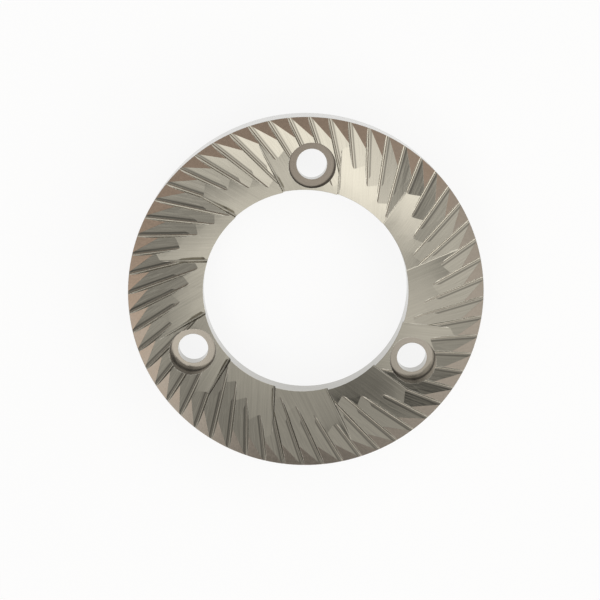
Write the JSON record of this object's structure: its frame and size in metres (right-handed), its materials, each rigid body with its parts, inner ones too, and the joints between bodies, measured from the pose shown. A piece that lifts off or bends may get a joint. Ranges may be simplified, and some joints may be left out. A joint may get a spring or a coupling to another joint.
{
  "type": "coffee grinder burr",
  "caption": "Flat ring burr of hardened steel for a coffee grinder, with fine slanted teeth at the rim, scooped breakers round the bore, counterbored screw holes and a recessed back.",
  "frame": {"origin": "centre of the back rim's flat face, on the turning axis", "axes": "+Z along the turning axis, out of the cutting face; +Y towards the first screw hole"},
  "size_m": [0.064, 0.064, 0.009],
  "materials": {
    "steel": "hardened tool steel, ground on the face and rim and milled in the teeth"
  },
  "bodies": {
    "root": {"burr": "steel"}
  },
  "joints": []
}
